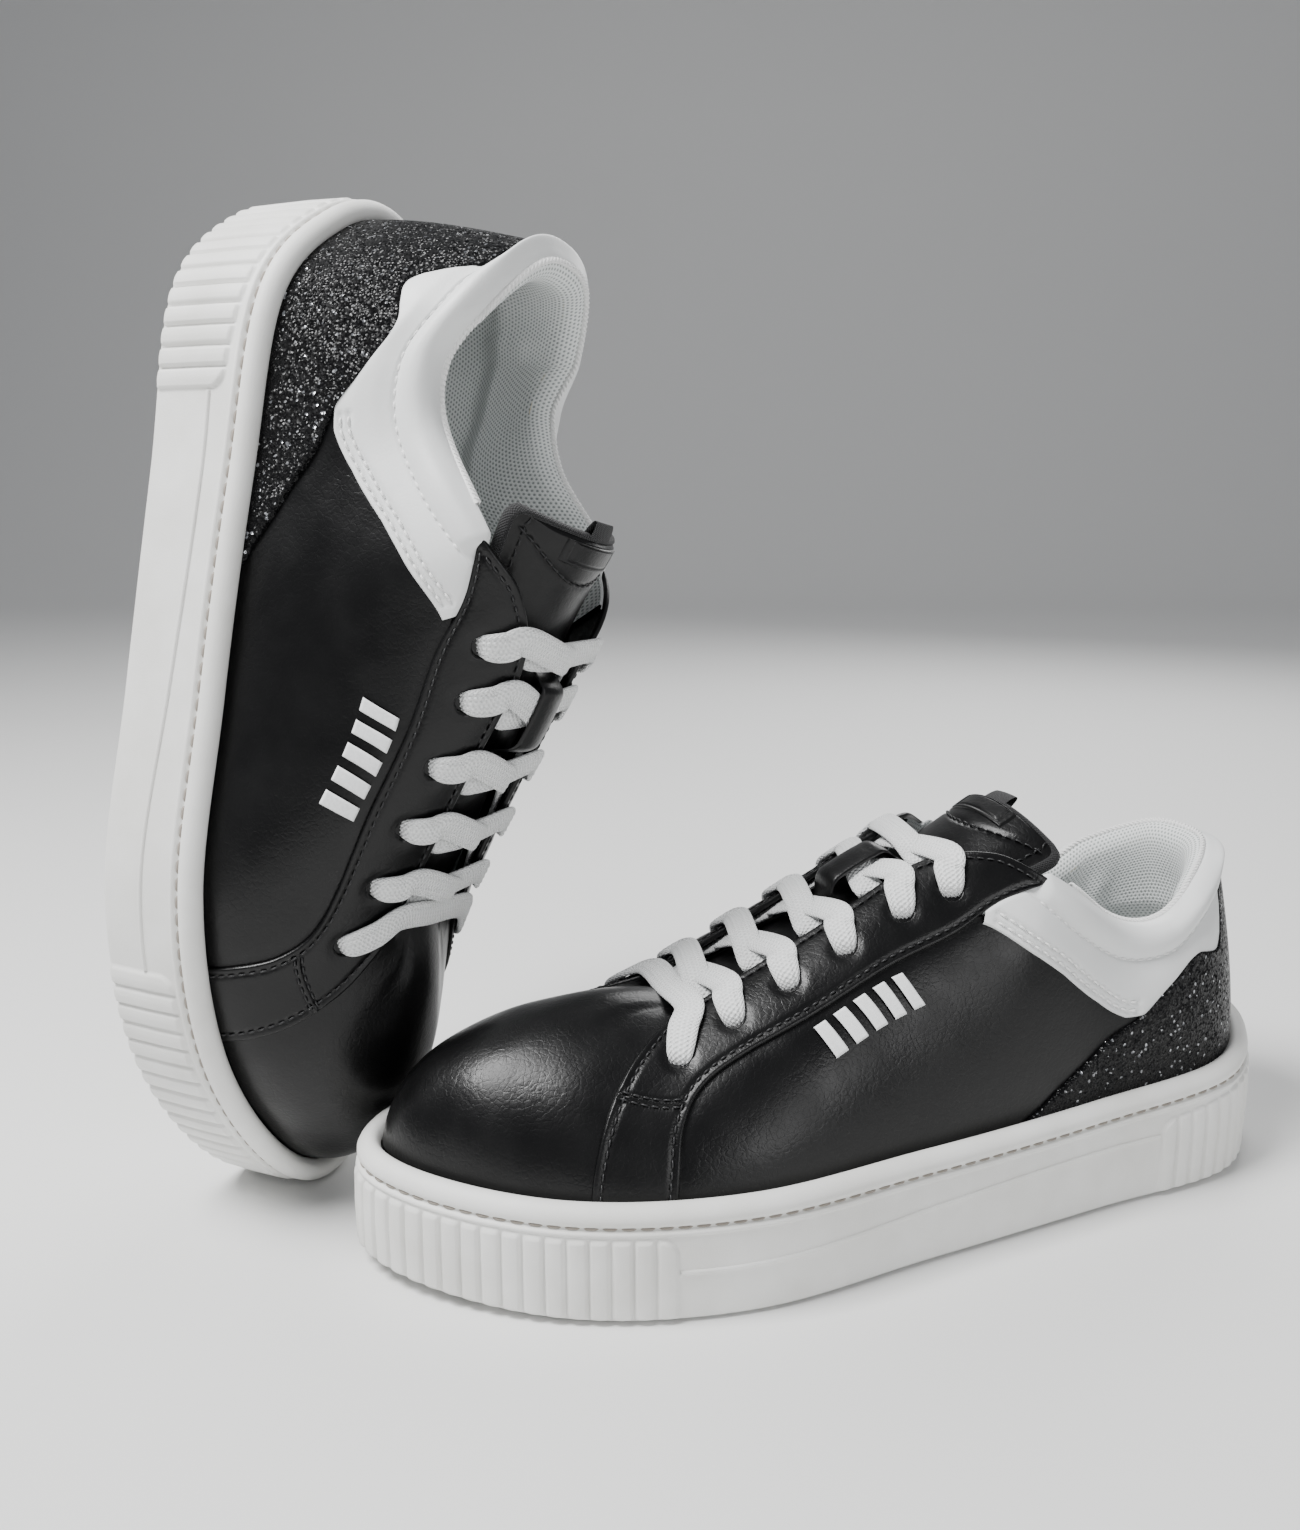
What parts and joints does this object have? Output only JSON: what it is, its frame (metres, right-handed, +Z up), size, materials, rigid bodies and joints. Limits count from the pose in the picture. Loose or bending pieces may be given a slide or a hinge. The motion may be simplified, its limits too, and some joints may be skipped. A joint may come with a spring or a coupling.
{
  "type": "pair of low-top platform lace-up sneakers",
  "caption": "Pair of low lace-up platform sneakers with cup soles, leather uppers, padded collars and flat laces; one stands flat and one stands on its toe.",
  "frame": {"origin": "on the ground under the middle of the pair's overall box", "axes": "+Z up; +X to the viewer's right and +Y away from the viewer; the left shoe's toe points to -X and a little to -Y"},
  "size_m": [0.3184, 0.1428, 0.2658],
  "materials": {
    "sole_rubber": "off-white moulded rubber, matte with a fine grain",
    "foam": "open-cell polyurethane foam",
    "board": "pressed fibre board",
    "stiffener": "thermoplastic stiffener sheet",
    "lining_mesh": "white and grey spacer mesh with small hexagonal holes",
    "black_leather": "black fine-grain leather, semi-gloss, edge stitched",
    "white_leather": "smooth white coated leather, soft sheen",
    "black_glitter": "black coarse glitter on a leather backing",
    "lace_cotton": "flat woven white lace",
    "white_print": "raised white transfer"
  },
  "bodies": {
    "left_shoe": {"left_outsole_tread": "sole_rubber", "left_cup_sole": "sole_rubber", "left_midsole_filler": "foam", "left_insole_board": "board", "left_vamp": "black_leather", "left_toe_puff": "stiffener", "left_vamp_lining": "lining_mesh", "left_quarter_lateral": "black_leather", "left_quarter_medial": "black_leather", "left_quarter_lining_lateral": "lining_mesh", "left_quarter_lining_medial": "lining_mesh", "left_eyestay_lateral": "black_leather", "left_eyestay_medial": "black_leather", "left_collar_panel_lateral": "white_leather", "left_collar_panel_medial": "white_leather", "left_heel_overlay": "black_glitter", "left_heel_stiffener": "stiffener", "left_collar_foam": "foam", "left_collar_lining": "lining_mesh", "left_lace_keeper": "black_leather", "left_lace": "lace_cotton", "left_emblem": "white_print"},
    "left_tongue": {"left_tongue_leather": "black_leather", "left_tongue_foam": "foam", "left_tongue_lining": "lining_mesh", "left_tongue_patch": "black_leather"},
    "left_sockliner": {"left_sockliner": "lining_mesh"},
    "right_shoe": {"right_outsole_tread": "sole_rubber", "right_cup_sole": "sole_rubber", "right_midsole_filler": "foam", "right_insole_board": "board", "right_vamp": "black_leather", "right_toe_puff": "stiffener", "right_vamp_lining": "lining_mesh", "right_quarter_lateral": "black_leather", "right_quarter_medial": "black_leather", "right_quarter_lining_lateral": "lining_mesh", "right_quarter_lining_medial": "lining_mesh", "right_eyestay_lateral": "black_leather", "right_eyestay_medial": "black_leather", "right_collar_panel_lateral": "white_leather", "right_collar_panel_medial": "white_leather", "right_heel_overlay": "black_glitter", "right_heel_stiffener": "stiffener", "right_collar_foam": "foam", "right_collar_lining": "lining_mesh", "right_lace_keeper": "black_leather", "right_lace": "lace_cotton", "right_emblem": "white_print"},
    "right_tongue": {"right_tongue_leather": "black_leather", "right_tongue_foam": "foam", "right_tongue_lining": "lining_mesh", "right_tongue_patch": "black_leather"},
    "right_sockliner": {"right_sockliner": "lining_mesh"}
  },
  "joints": [
    {"name": "right_shoe_set_down", "type": "hinge", "parent": "left_shoe", "child": "right_shoe", "pos_m": [-0.13871, 0.00639, 0.00295], "axis": [-0.4321, -0.9018, 0], "range_deg": [0, 90]},
    {"name": "left_tongue_press", "type": "hinge", "parent": "left_shoe", "child": "left_tongue", "pos_m": [-0.03549, -0.02537, 0.056], "axis": [-0.3509, 0.9364, 0], "range_deg": [0, 4], "stiffness_Nm_per_rad": 4},
    {"name": "right_tongue_press", "type": "hinge", "parent": "right_shoe", "child": "right_tongue", "pos_m": [-0.08854, -0.01155, 0.06291], "axis": [-0.4255, -0.8881, 0.1736], "range_deg": [0, 4], "stiffness_Nm_per_rad": 4},
    {"name": "left_sockliner_lift", "type": "hinge", "parent": "left_shoe", "child": "left_sockliner", "pos_m": [-0.07875, -0.04158, 0.0245], "axis": [0.3509, -0.9364, 0], "range_deg": [0, 3.5]},
    {"name": "right_sockliner_lift", "type": "hinge", "parent": "right_shoe", "child": "right_sockliner", "pos_m": [-0.12041, -0.00518, 0.01741], "axis": [0.4255, 0.8881, -0.1736], "range_deg": [0, 3.5]}
  ]
}
